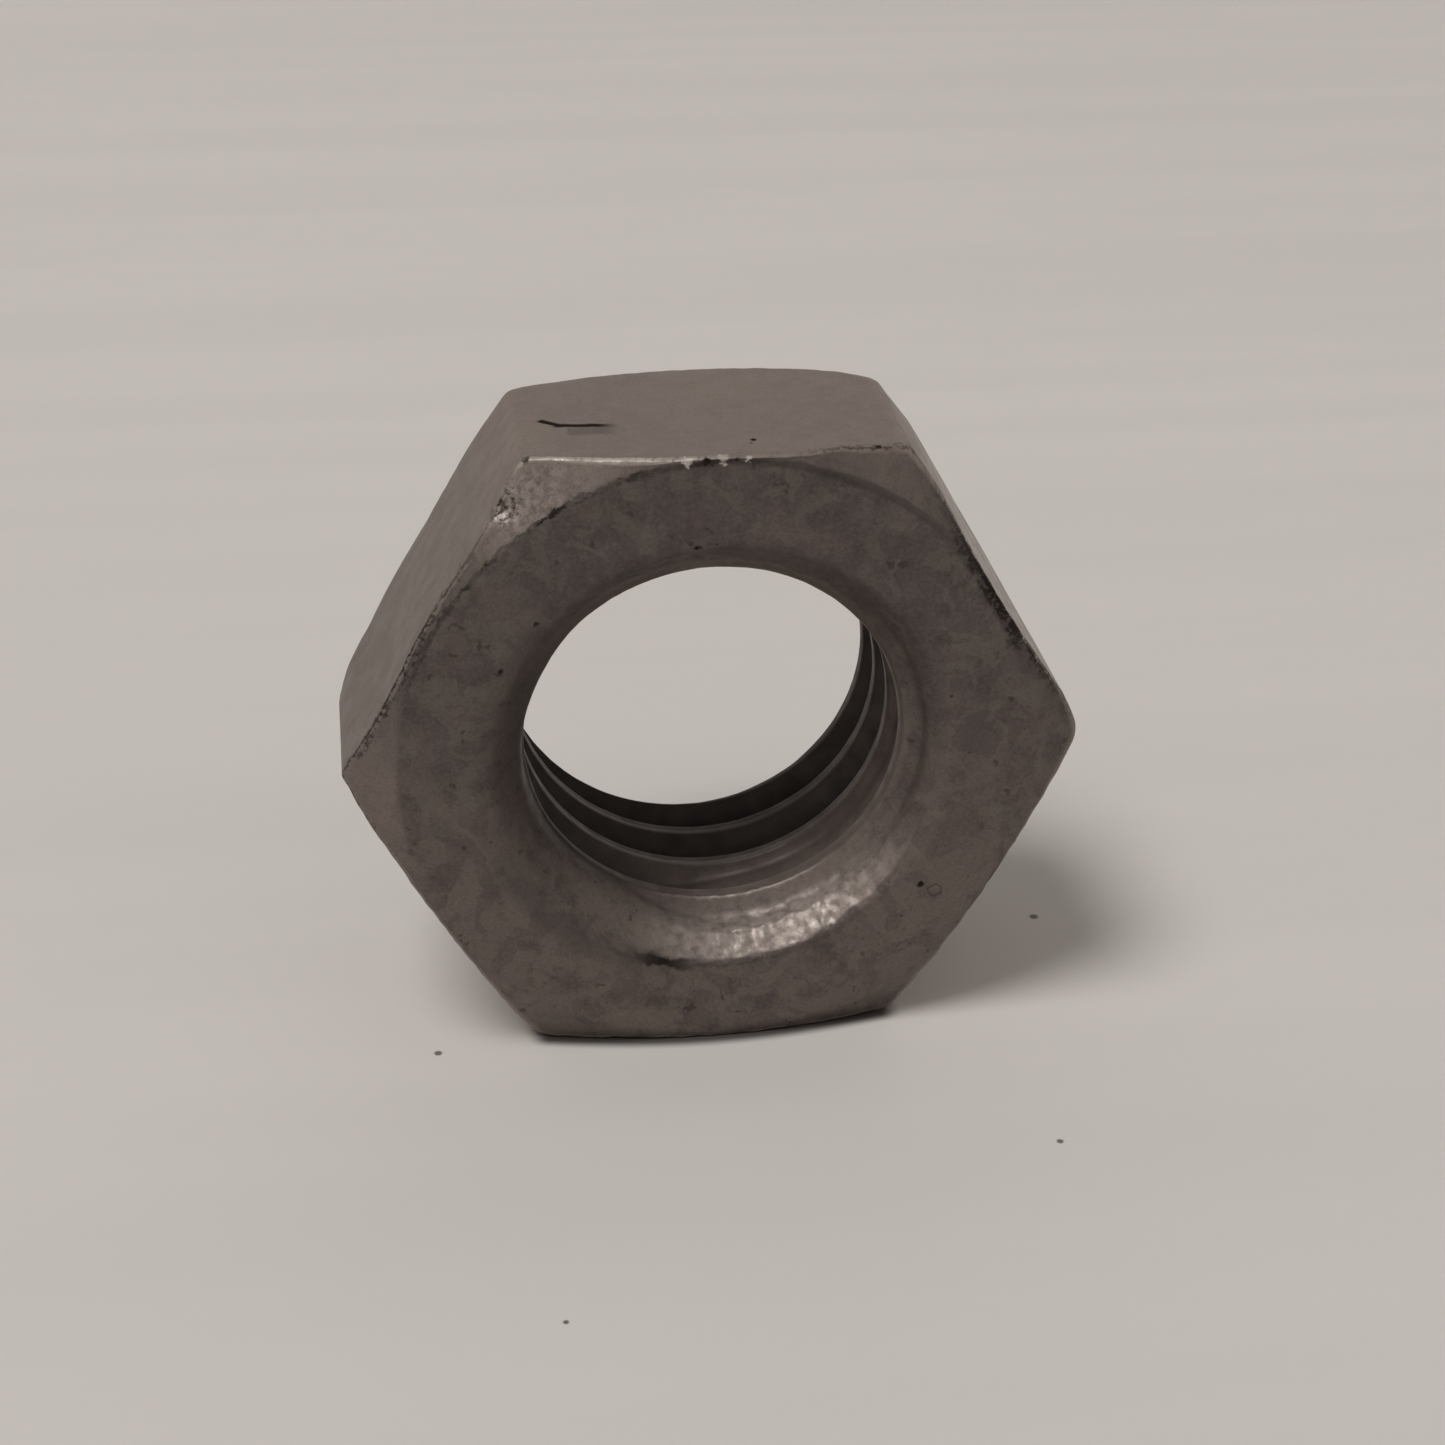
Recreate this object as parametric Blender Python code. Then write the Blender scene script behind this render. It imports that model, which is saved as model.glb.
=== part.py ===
"""Hex jam nut, 1/2-13 UNC, hot-dip galvanised steel: one solid piece.

The nut stands on one of its six wrench flats. The thread axis is Y, and the face
with the wide countersink looks towards -Y. +Z is up. The origin is on the thread
axis, halfway between the two faces.
"""

import math

import bmesh
import bpy
from mathutils import Vector

MM = 0.001
INCH = 25.4 * MM

# Blank
ACROSS_FLATS = 0.75 * INCH
THICKNESS = 8.2 * MM
CORNER_RADIUS = 0.35 * MM

# Chamfers that trim the six corners; the back one is cut deeper than the front one
FRONT_CHAMFER_DIAMETER = 18.75 * MM
FRONT_CHAMFER_ANGLE = math.radians(25.5)
BACK_CHAMFER_DIAMETER = 16.6 * MM
BACK_CHAMFER_ANGLE = math.radians(35.0)

# Thread, tapped oversize so that it clears a galvanised bolt
PITCH = INCH / 13.0
MINOR_DIAMETER = 11.2 * MM
MAJOR_DIAMETER = 13.16 * MM
FLANK_ANGLE = math.radians(30.0)
CREST_WIDTH = 0.24 * PITCH
CREST_OFFSET = 1.91 * MM

# Countersinks at the two ends of the thread
FRONT_MOUTH_DIAMETER = 13.75 * MM
FRONT_CONE_HALF_ANGLE = math.radians(43.0)
BACK_MOUTH_DIAMETER = 11.9 * MM
BACK_CONE_HALF_ANGLE = math.radians(41.0)

# Facets
STEPS_PER_TURN = 96
STEPS_PER_CORNER = 3
SHARP_EDGE_ANGLE = math.radians(25.0)

# How far cutters and guides run past the surfaces that they trim
OVERRUN = 2.0 * MM

ZINC_COLOR = (0.37, 0.34, 0.31, 1.0)
ZINC_ROUGHNESS = 0.55
ZINC_METALLIC = 0.85


def clear_scene():
    for old in list(bpy.data.objects):
        bpy.data.objects.remove(old, do_unlink=True)


def add_object(name, bm):
    mesh = bpy.data.meshes.new(name)
    bm.to_mesh(mesh)
    bm.free()
    obj = bpy.data.objects.new(name, mesh)
    bpy.context.scene.collection.objects.link(obj)
    return obj


def make_cutter(obj):
    obj.hide_render = True
    obj.display_type = "WIRE"


def shade_round(mesh):
    """Smooth shading, with every edge sharper than the given angle kept crisp."""
    mesh.shade_smooth()
    mesh.set_sharp_from_angle(angle=SHARP_EDGE_ANGLE)


def polar(radius, angle, y):
    """Point at a radius from the thread axis, with the angle counted from +X to +Z."""
    return Vector((radius * math.cos(angle), y, radius * math.sin(angle)))


def hexagon_outline():
    """Corners of the hexagon as short arcs that are tangent to the flats."""
    centre_radius = (ACROSS_FLATS / 2 - CORNER_RADIUS) / math.cos(math.radians(30.0))
    points = []
    for corner in range(6):
        corner_angle = math.radians(60.0 * corner)
        centre = polar(centre_radius, corner_angle, 0.0)
        for step in range(STEPS_PER_CORNER + 1):
            swing = math.radians(-30.0 + 60.0 * step / STEPS_PER_CORNER)
            points.append(centre + polar(CORNER_RADIUS, corner_angle + swing, 0.0))
    return points


def hexagon_blank():
    """Hexagonal bar as long as the nut is thick, with a flat at the top and the bottom."""
    bm = bmesh.new()
    outline = hexagon_outline()
    verts = [bm.verts.new(point + Vector((0.0, -THICKNESS / 2, 0.0))) for point in outline]
    front = bm.faces.new(verts)
    extruded = bmesh.ops.extrude_face_region(bm, geom=[front])
    moved = [item for item in extruded["geom"] if isinstance(item, bmesh.types.BMVert)]
    bmesh.ops.translate(bm, verts=moved, vec=(0.0, THICKNESS, 0.0))
    bmesh.ops.recalc_face_normals(bm, faces=bm.faces)
    return add_object("hex_nut", bm)


def turned_solid(name, profile):
    """Solid of revolution about the thread axis from (radius, y) points, axis to axis."""
    bm = bmesh.new()
    verts = [bm.verts.new((radius, y, 0.0)) for radius, y in profile]
    edges = [bm.edges.new(pair) for pair in zip(verts, verts[1:])]
    bmesh.ops.spin(
        bm,
        geom=verts + edges,
        cent=(0.0, 0.0, 0.0),
        axis=(0.0, 1.0, 0.0),
        angle=math.tau,
        steps=STEPS_PER_TURN,
        use_merge=True,
    )
    bmesh.ops.remove_doubles(bm, verts=bm.verts, dist=0.001 * MM)
    bmesh.ops.recalc_face_normals(bm, faces=bm.faces)
    obj = add_object(name, bm)
    make_cutter(obj)
    return obj


def chamfer_guide():
    """Disc with a cone at each end: what it shares with the blank is the chamfered nut."""
    half = THICKNESS / 2
    rim = ACROSS_FLATS / 2 / math.cos(math.radians(30.0)) + OVERRUN
    front_radius = FRONT_CHAMFER_DIAMETER / 2
    back_radius = BACK_CHAMFER_DIAMETER / 2
    front_rise = (rim - front_radius) * math.tan(FRONT_CHAMFER_ANGLE)
    back_rise = (rim - back_radius) * math.tan(BACK_CHAMFER_ANGLE)
    profile = [
        (0.0, -half),
        (front_radius, -half),
        (rim, -half + front_rise),
        (rim, half - back_rise),
        (back_radius, half),
        (0.0, half),
    ]
    return turned_solid("chamfer_guide", profile)


def countersink(name, mouth_diameter, half_angle, side):
    """Cone that opens the bore at one end: side is -1 at the front and 1 at the back."""
    half = THICKNESS / 2
    mouth = mouth_diameter / 2
    inside = MINOR_DIAMETER / 2 - 0.5 * MM
    depth = (mouth - inside) / math.tan(half_angle)
    profile = [
        (0.0, side * (half - depth)),
        (inside, side * (half - depth)),
        (mouth + OVERRUN * math.tan(half_angle), side * (half + OVERRUN)),
        (0.0, side * (half + OVERRUN)),
    ]
    return turned_solid(name, profile)


def thread_section():
    """(radius, y) corners of one pitch of the tap, from crest edge to crest edge."""
    minor = MINOR_DIAMETER / 2
    major = MAJOR_DIAMETER / 2
    flank = (major - minor) * math.tan(FLANK_ANGLE)
    crest_edge = CREST_WIDTH / 2
    return [
        (minor, -crest_edge),
        (minor, crest_edge),
        (major, crest_edge + flank),
        (major, PITCH - crest_edge - flank),
    ]


def thread_tap():
    """Right-hand tap: a core with a helical ridge that leaves the thread behind.

    Its facets are half a step out of line with those of the turned solids, so that
    no edge of one falls exactly on an edge of the other.
    """
    bm = bmesh.new()
    section = thread_section()
    reach = THICKNESS / 2 + 1.5 * PITCH
    turns = math.ceil(2 * reach / PITCH) + 1
    first_y = CREST_OFFSET - PITCH * math.ceil((CREST_OFFSET + reach) / PITCH)
    rings = []
    for step in range(turns * STEPS_PER_TURN + 1):
        turn = (step + 0.5) / STEPS_PER_TURN
        angle = math.radians(270.0) - turn * math.tau
        shift = first_y + turn * PITCH
        rings.append([bm.verts.new(polar(radius, angle, shift + y)) for radius, y in section])
    for step in range(len(rings) - 1):
        near, far = rings[step], rings[step + 1]
        for corner in range(len(section) - 1):
            bm.faces.new((near[corner], near[corner + 1], far[corner + 1], far[corner]))
        if step + 1 + STEPS_PER_TURN < len(rings):
            next_near, next_far = rings[step + STEPS_PER_TURN], rings[step + 1 + STEPS_PER_TURN]
            bm.faces.new((near[-1], next_near[0], next_far[0], far[-1]))
    close_tap_end(bm, [ring[0] for ring in rings[: STEPS_PER_TURN + 1]], rings[0], -1)
    close_tap_end(bm, [ring[-1] for ring in rings[-STEPS_PER_TURN - 1:]], rings[-1], 1)
    bmesh.ops.recalc_face_normals(bm, faces=bm.faces)
    obj = add_object("thread_tap", bm)
    make_cutter(obj)
    return obj


def close_tap_end(bm, edge_turn, end_ring, side):
    """Fan from a point on the axis to the last turn of the ridge and its end section."""
    loop = list(edge_turn)
    if side < 0:
        loop += list(reversed(end_ring))[:-1]
    else:
        loop += list(end_ring)[:-1]
    outermost = max(side * vert.co.y for vert in loop)
    tip = bm.verts.new((0.0, side * (outermost + OVERRUN), 0.0))
    for here, there in zip(loop, loop[1:] + loop[:1]):
        bm.faces.new((tip, here, there))


def add_boolean(obj, cutter, operation):
    modifier = obj.modifiers.new(cutter.name, "BOOLEAN")
    modifier.object = cutter
    modifier.operation = operation


def cut_to_shape(obj):
    """Replace the blank's mesh with the result of its Booleans, so it can be shaded."""
    depsgraph = bpy.context.evaluated_depsgraph_get()
    finished = bpy.data.meshes.new_from_object(obj.evaluated_get(depsgraph))
    obj.modifiers.clear()
    obj.data = finished
    shade_round(finished)


def zinc_material():
    """Dull grey hot-dip zinc."""
    material = bpy.data.materials.new("galvanised_zinc")
    material.use_nodes = True
    shader = material.node_tree.nodes["Principled BSDF"]
    shader.inputs["Base Color"].default_value = ZINC_COLOR
    shader.inputs["Roughness"].default_value = ZINC_ROUGHNESS
    shader.inputs["Metallic"].default_value = ZINC_METALLIC
    return material


def build_nut():
    nut = hexagon_blank()
    add_boolean(nut, chamfer_guide(), "INTERSECT")
    add_boolean(nut, thread_tap(), "DIFFERENCE")
    front = countersink("front_countersink", FRONT_MOUTH_DIAMETER, FRONT_CONE_HALF_ANGLE, -1)
    back = countersink("back_countersink", BACK_MOUTH_DIAMETER, BACK_CONE_HALF_ANGLE, 1)
    add_boolean(nut, front, "DIFFERENCE")
    add_boolean(nut, back, "DIFFERENCE")
    cut_to_shape(nut)
    nut.data.materials.append(zinc_material())
    return nut


clear_scene()
build_nut()
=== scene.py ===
"""Looks of the hot-dip galvanised hex jam nut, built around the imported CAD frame.

The nut is one closed mesh. Its points lie on a grid: one direction runs round the
thread axis (Y), the other runs round the section of the ring, from the front face
over the wrench flats to the back face and back through the bore. Inside the bore the
grid lines follow the thread's helix.
"""

import math

import bmesh
import bpy
import numpy as np
from mathutils import Matrix, Vector, noise


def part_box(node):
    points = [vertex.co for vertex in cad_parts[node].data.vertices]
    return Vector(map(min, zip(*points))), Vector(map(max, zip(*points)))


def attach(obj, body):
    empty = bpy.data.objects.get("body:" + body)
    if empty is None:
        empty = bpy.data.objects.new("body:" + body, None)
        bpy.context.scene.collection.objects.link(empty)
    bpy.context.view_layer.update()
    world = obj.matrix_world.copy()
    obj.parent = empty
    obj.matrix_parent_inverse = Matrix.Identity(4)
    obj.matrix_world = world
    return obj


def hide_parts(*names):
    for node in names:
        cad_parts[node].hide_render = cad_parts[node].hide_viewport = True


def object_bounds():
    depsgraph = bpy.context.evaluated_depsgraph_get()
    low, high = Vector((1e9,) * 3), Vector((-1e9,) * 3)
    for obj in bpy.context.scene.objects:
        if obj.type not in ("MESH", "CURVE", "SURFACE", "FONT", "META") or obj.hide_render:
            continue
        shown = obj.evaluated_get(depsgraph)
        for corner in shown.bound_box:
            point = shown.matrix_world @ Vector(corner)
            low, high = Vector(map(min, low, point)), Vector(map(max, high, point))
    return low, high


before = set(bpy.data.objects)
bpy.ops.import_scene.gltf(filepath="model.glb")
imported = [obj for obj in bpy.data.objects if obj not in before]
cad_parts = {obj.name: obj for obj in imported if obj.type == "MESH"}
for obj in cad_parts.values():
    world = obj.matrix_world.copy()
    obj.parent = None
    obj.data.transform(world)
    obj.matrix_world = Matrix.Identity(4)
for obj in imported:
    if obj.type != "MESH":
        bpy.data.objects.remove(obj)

MM = 0.001
PER_MM = 1.0 / MM
NODE = "hex_nut"

cad_low, cad_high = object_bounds()
_, node_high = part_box(NODE)

# Everything below is in millimetres in the CAD's own frame, until the mesh is made.
# The faces lie at y = -HALF and y = HALF, and the flats lie FLAT away from the axis.
FLAT = node_high.z / MM
HALF = node_high.y / MM

# Directions round the axis, in degrees from +X over +Z
UPPER_RIGHT_FLAT = 30.0
UPPER_RIGHT_CORNER = 60.0
TOP_FLAT = 90.0
UPPER_LEFT_CORNER = 120.0
UPPER_LEFT_FLAT = 150.0
LEFT_CORNER = 180.0
LOWER_LEFT_FLAT = 210.0

# The bottom of the bore, in parts of a whole turn in the same direction
BOTTOM_TURN = 0.75

# Chamfers: radius of the circle where each one starts, and how steeply it falls away
FRONT_RIM = 0.984 * FLAT
FRONT_SLOPE = math.tan(math.radians(25.5))
BACK_RIM = 0.871 * FLAT
BACK_SLOPE = math.tan(math.radians(35.0))

# Thread: radius of the crests and of the root, width of a crest, y of the middle of a crest
# at the bottom of the bore, and rise of a flank per mm along the bore
PITCH = 25.4 / 13.0
MINOR = 5.6
MAJOR = 6.58
CREST = 0.24 * PITCH
CREST_OFFSET = 1.91
FLANK_RISE = 1.0 / math.tan(math.radians(30.0))

# Zinc in the first turn: from one direction to the next, the root comes to this radius
ROOT_FILLS = ((-135.0, -75.0, 5.98), (95.0, 160.0, 5.63), (232.0, 272.0, 6.2))

# Countersinks: radius of each mouth and how steeply it closes
MOUTH = 6.875
CONE_SLOPE = math.tan(math.radians(43.0))
BACK_MOUTH = 5.95
BACK_CONE_SLOPE = math.tan(math.radians(41.0))

# Where the rounding of each mouth ends: its depth, and for the back how much narrower too
INSIDE_MOUTH = 0.5
INSIDE_BACK_MOUTH = (0.16, 0.18)

# The part of the bore where the grid follows the thread
HELIX_FRONT = -HALF + 0.70
HELIX_BACK = HALF - 0.17

# How far the upper right flat leans in, and the upper left one out, at the front edge
FRONT_DRAFT = 0.36
FRONT_FLARE = 0.18

# A knock on the front chamfer
NICK = (-6.08, -3.68, 8.27)

# The crest with a burr, counted forwards, and how far in front of its middle the burr is
BURR_CREST = 2
BURR_PLACE = 0.25

# How far each corner of the hexagon is rounded off, from the right-hand corner round
CORNER_SOFTNESS = (0.15, 0.07, 0.09, 0.06, 0.10, 0.10)

# Flats that stand a little proud of a true hexagon: direction and amount
SWELLS = ((UPPER_RIGHT_FLAT, 0.165), (LOWER_LEFT_FLAT, 0.11))

# Swells and hollows of the upper left flat at its back edge: direction, reach, amount
BACK_SWELLS = ((174.5, 6.5, 0.17), (146.0, 17.0, -0.09))

# Grid lines round the nut: per corner and per flat, and how many degrees a corner takes
STEPS_CORNER = 8
STEPS_FLAT = 58
CORNER_SPAN = 2.6

# Lines across one pitch of the thread, in parts of a pitch from the middle of a crest
CREST_LINES = (-0.10, -0.05, 0.0, 0.05, 0.10)
EDGE_LINES = (0.12, 0.135, 0.155)
FLANK_LINES = (0.20, 0.25, 0.30, 0.35, 0.39)
ROOT_LINES = (0.425, 0.455)

# Straight sides of the outer section, between its softened edges, and steps along each
SIDE_STEPS = (
    ("face", 15), ("chamfer", 8), ("flat", 28), ("back_chamfer", 8), ("back_face", 9),
)

# Zones of the surface, for shaping and painting it
ZONES = (
    "mouth", "face", "rim", "chamfer", "edge", "flat",
    "back_edge", "back_chamfer", "back_rim", "back_face", "back_mouth", "thread", "cone",
)


def smooth_min(a, b, k):
    return 0.5 * (a + b) - np.sqrt((0.5 * (a - b)) ** 2 + k * k)


def smooth_max(a, b, k):
    return -smooth_min(-a, -b, k)


def smooth_step(low, high, x):
    t = np.clip((x - low) / (high - low), 0.0, 1.0)
    return t * t * (3.0 - 2.0 * t)


def near_angle(angle, centre, reach, power=1.0, core=0.0):
    """1 up to core degrees from a direction, falling smoothly to 0 at reach degrees."""
    away = np.abs((np.degrees(angle) - centre + 180.0) % 360.0 - 180.0)
    return (1.0 - smooth_step(core, reach, away)) ** power


def ring_noise(angle, scale, seed):
    """Smooth noise round the axis, about -1 to 1, with the given number of lumps per mm."""
    values = []
    for a in angle:
        place = Vector((math.cos(a), math.sin(a), 0.0)) * (9.0 * scale)
        values.append(noise.noise(place + Vector((0.0, 0.0, seed))))
    return np.array(values) * 1.6


def ring_angles():
    """Angles round the axis, closer together where a corner is rounded."""
    steps = []
    for sector in range(6):
        start, end = 60.0 * sector, 60.0 * (sector + 1)
        first, last = start + CORNER_SPAN, end - CORNER_SPAN
        steps.append(np.linspace(start, first, STEPS_CORNER, endpoint=False))
        steps.append(np.linspace(first, last, STEPS_FLAT, endpoint=False))
        steps.append(np.linspace(last, end, STEPS_CORNER, endpoint=False))
    return np.radians(np.concatenate(steps + [np.array([360.0])]))


def hexagon_radius(angle):
    """Distance from the axis to the wrench flats, with softened corners."""
    swell = np.zeros_like(angle)
    for centre, amount in SWELLS:
        swell = swell + amount * near_angle(angle, centre, 30.0, core=21.0)
    softness = np.zeros_like(angle)
    for corner, amount in enumerate(CORNER_SOFTNESS):
        softness += amount * near_angle(angle, 60.0 * corner, 30.0)
    distances = []
    for flat in range(6):
        away = np.cos(angle - math.radians(30.0 + 60.0 * flat))
        distances.append(np.where(away > 0.2, FLAT / np.maximum(away, 0.2), 99.0))
    ordered = np.sort(np.array(distances), axis=0)
    return smooth_min(ordered[0], ordered[1], softness + 0.01) + swell


def thread_turns(angle, y):
    """Turns of the thread between a place and the crest at CREST_OFFSET."""
    return (y - CREST_OFFSET) / PITCH + (angle - BOTTOM_TURN * math.tau) / math.tau


def thread_radius(angle, y):
    """The thread. Its first turn is half full of zinc, so its root is shallow there."""
    turns = thread_turns(angle, y)
    from_crest = np.abs((turns + 0.5) % 1.0 - 0.5) * PITCH
    along = np.degrees(angle) - 360.0 * (np.floor(turns) + 3.0)
    root, before = MAJOR, MAJOR
    for start, end, after in ROOT_FILLS:
        root = root + (after - before) * smooth_step(start, end, along)
        before = after
    rise = (from_crest - 0.5 * CREST) * FLANK_RISE
    rise = smooth_max(rise, 0.0 * rise, 0.03)
    fillet = 0.03 + 0.05 * smooth_step(-100.0, -60.0, along)
    return MINOR + smooth_min(rise, root - MINOR, fillet)


def crest_place(angle, y):
    """Number of the nearest crest, counted forwards, and how far behind its middle."""
    turns = thread_turns(angle, y)
    nearest = np.round(turns)
    return -nearest, (turns - nearest) * PITCH


def behind_front_crest(angle, y):
    """How far behind the foremost whole crest a place is, in mm."""
    first = np.where(angle > math.radians(150.0), 2.0, 3.0)
    return (thread_turns(angle, y) + first) * PITCH


def bore_radius(angle, y):
    """The bore: the thread, and a countersink at each end that cuts it off."""
    from_front = y + HALF
    from_back = HALF - y
    cone = MOUTH - from_front * CONE_SLOPE
    back = BACK_MOUTH - from_back * BACK_CONE_SLOPE
    melted = 0.05 + 0.18 * near_angle(angle, 205.0, 60.0)
    return smooth_max(smooth_max(thread_radius(angle, y), cone, melted), back, 0.02)


def bend(before, corner, after, before_soft, after_soft, steps, limit=0.45):
    """A softened corner of the section, as steps + 1 points along a quadratic curve.

    It starts before_soft and ends after_soft from the corner, but never takes more than
    limit of the way before it, or 0.45 of the way after it.
    """
    inward = before - corner
    outward = after - corner
    inward_length = np.linalg.norm(inward, axis=-1, keepdims=True)
    outward_length = np.linalg.norm(outward, axis=-1, keepdims=True)
    first = corner + inward * np.minimum(before_soft[:, None] / inward_length, limit)
    last = corner + outward * np.minimum(after_soft[:, None] / outward_length, 0.45)
    points = []
    for step in range(steps + 1):
        t = step / steps
        points.append((1 - t) ** 2 * first + 2 * t * (1 - t) * corner + t * t * last)
    return points


def straight(first, last, steps):
    """Points strictly between two ends, evenly spaced."""
    return [first + (last - first) * step / steps for step in range(1, steps)]


def front_edge_place(angle):
    """Radius and y of the edge where the front chamfer meets the wrench flats."""
    radius = hexagon_radius(angle) - FRONT_DRAFT * near_angle(angle, 37.0, 33.0, 0.4)
    radius = radius + FRONT_FLARE * near_angle(angle, UPPER_LEFT_FLAT, 20.0)
    return radius, -HALF + np.maximum(radius - FRONT_RIM, 0.0) * FRONT_SLOPE


def back_outline(angle):
    """Radius of the edge where the back chamfer meets the wrench flats."""
    outline = hexagon_radius(angle)
    for centre, reach, amount in BACK_SWELLS:
        outline = outline + amount * near_angle(angle, centre, reach)
    return outline


def edge_softness(angle):
    """How far each edge of the section is rounded off, going round the nut."""
    waver = ring_noise(angle, 0.9, 3.0)
    fine = ring_noise(angle, 3.0, 8.0)
    mouth = 0.12 + 0.05 * waver + 0.02 * fine
    mouth = mouth + 0.35 * near_angle(angle, 20.0, 85.0, 0.5)
    mouth = mouth + 0.8 * near_angle(angle, 175.0, 85.0, 0.5)
    edge = 0.16 + 0.05 * waver + 0.03 * fine
    edge = edge + 0.16 * near_angle(angle, 98.0, 30.0)
    edge = edge - 0.11 * near_angle(angle, UPPER_RIGHT_FLAT, 34.0, 0.5)
    back = 0.16 + 0.05 * fine
    back_edge = back + 0.7 * near_angle(angle, LEFT_CORNER, 13.0, 0.8)
    back_edge = back_edge + 0.8 * near_angle(angle, 56.0, 12.0)
    return {
        "mouth": np.clip(mouth, 0.05, 0.85),
        "rim": 0.22 + 0.06 * waver,
        "edge": edge,
        "back": back,
        "back_edge": back_edge,
    }


def shell_section(angle):
    """Lines of the outside of the nut, mouth to back mouth, each (angle, [radius, y])."""

    def ring(radius, y):
        shape = (len(angle),)
        return np.stack([np.broadcast_to(radius, shape), np.broadcast_to(y, shape)], -1)

    front_radius, front_y = front_edge_place(angle)
    back_radius = back_outline(angle)
    back_y = HALF - np.maximum(back_radius - BACK_RIM, 0.0) * BACK_SLOPE
    inside_y = np.full_like(angle, -HALF + INSIDE_MOUTH)
    inside_mouth = ring(bore_radius(angle, inside_y), inside_y)
    mouth = ring(MOUTH, -HALF)
    rim = ring(np.minimum(FRONT_RIM, front_radius - 0.06), -HALF)
    front_edge = ring(front_radius, front_y)
    back_edge = ring(back_radius, back_y)
    back_rim = ring(BACK_RIM, HALF)
    back_mouth = ring(BACK_MOUTH, HALF)
    inside_back = ring(BACK_MOUTH - INSIDE_BACK_MOUTH[0], HALF - INSIDE_BACK_MOUTH[1])

    soft = edge_softness(angle)
    edge, back = soft["edge"], soft["back"]
    bends = (
        ("mouth", bend(inside_mouth, mouth, rim, soft["mouth"], soft["mouth"], 8, 0.95)),
        ("rim", bend(mouth, rim, front_edge, soft["rim"], soft["rim"], 3)),
        ("edge", bend(rim, front_edge, back_edge, edge * 0.8, edge, 8)),
        ("back_edge", bend(front_edge, back_edge, back_rim, *[soft["back_edge"]] * 2, 6)),
        ("back_rim", bend(back_edge, back_rim, back_mouth, back, back, 3)),
        ("back_mouth", bend(back_rim, back_mouth, inside_back, back * 0.5, back * 0.5, 4)),
    )
    lines = []
    zones = []
    for (zone, points), (_, following), (side, steps) in zip(bends, bends[1:], SIDE_STEPS):
        between = straight(points[-1], following[0], steps)
        lines += points + between
        zones += [zone] * len(points) + [side] * len(between)
    zone, points = bends[-1]
    return lines + points, zones + [zone] * len(points)


def helix_lines():
    """Parts of a pitch at which grid lines run along the thread, in rising order."""
    half = EDGE_LINES + FLANK_LINES + ROOT_LINES
    return sorted(CREST_LINES + half + tuple(-part for part in half) + (0.5,))


def bore_section(angle):
    """Lines of the bore from the back mouth forwards, helical along the thread."""
    parts = helix_lines()
    turn = (angle - BOTTOM_TURN * math.tau) / math.tau
    lowest = math.floor((HELIX_FRONT - CREST_OFFSET) / PITCH - 0.75) - 1
    highest = math.ceil((HELIX_BACK - CREST_OFFSET) / PITCH + 0.25) + 1
    lines = []
    for whole in range(highest, lowest - 1, -1):
        for part in reversed(parts):
            y = CREST_OFFSET + (whole + part - turn) * PITCH
            y = np.clip(y, HELIX_FRONT, HELIX_BACK)
            if np.all(y >= HELIX_BACK) or np.all(y <= HELIX_FRONT):
                continue
            lines.append(np.stack([bore_radius(angle, y), y], -1))
    first = np.full_like(angle, HELIX_BACK)
    last = np.full_like(angle, HELIX_FRONT)
    lines.insert(0, np.stack([bore_radius(angle, first), first], -1))
    lines.append(np.stack([bore_radius(angle, last), last], -1))
    return lines, ["thread"] * len(lines)


def cone_section(angle, last_line):
    """Rings of the wide countersink, from the end of the helical lines to the mouth."""
    lines = []
    steps = 8
    gap = last_line[:, 0] - bore_radius(angle, last_line[:, 1])
    for step in range(1, steps):
        y = HELIX_FRONT + (last_line[:, 1] - HELIX_FRONT) * step / steps
        radius = bore_radius(angle, y) + gap * smooth_step(0.0, 1.0, step / steps)
        lines.append(np.stack([radius, y], -1))
    return lines, ["cone"] * len(lines)


def nut_mesh():
    """The smooth nut, before dents and lumps, with each vertex's zone as an attribute."""
    angle = ring_angles()
    shell, shell_zones = shell_section(angle)
    bore, bore_zones = bore_section(angle)
    cone, cone_zones = cone_section(angle, shell[0])
    section = np.array(shell + bore + cone)
    zones = shell_zones + bore_zones + cone_zones
    lines, columns = section.shape[:2]
    x = section[:, :, 0] * np.cos(angle)
    z = section[:, :, 0] * np.sin(angle)
    points = np.stack([x, section[:, :, 1], z], -1).reshape(-1, 3)
    faces = []
    for line in range(lines):
        here = line * columns
        there = ((line + 1) % lines) * columns
        for column in range(columns - 1):
            faces.append((here + column, there + column, there + column + 1, here + column + 1))
    mesh = bpy.data.meshes.new("nut_skin")
    mesh.from_pydata((points * MM).tolist(), [], faces)
    zone = mesh.attributes.new("zone", "FLOAT", "POINT")
    index = np.repeat([float(ZONES.index(name)) for name in zones], columns)
    zone.data.foreach_set("value", index.astype(np.float32))
    bm = bmesh.new()
    bm.from_mesh(mesh)
    bmesh.ops.remove_doubles(bm, verts=bm.verts, dist=0.002 * MM)
    bmesh.ops.recalc_face_normals(bm, faces=bm.faces)
    bm.to_mesh(mesh)
    bm.free()
    mesh.shade_smooth()
    return mesh


def read_points(mesh):
    co = np.zeros(len(mesh.vertices) * 3)
    mesh.vertices.foreach_get("co", co)
    return co.reshape(-1, 3) / MM


def read_normals(mesh):
    normals = np.zeros(len(mesh.vertices) * 3)
    mesh.vertex_normals.foreach_get("vector", normals)
    return normals.reshape(-1, 3)


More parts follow.
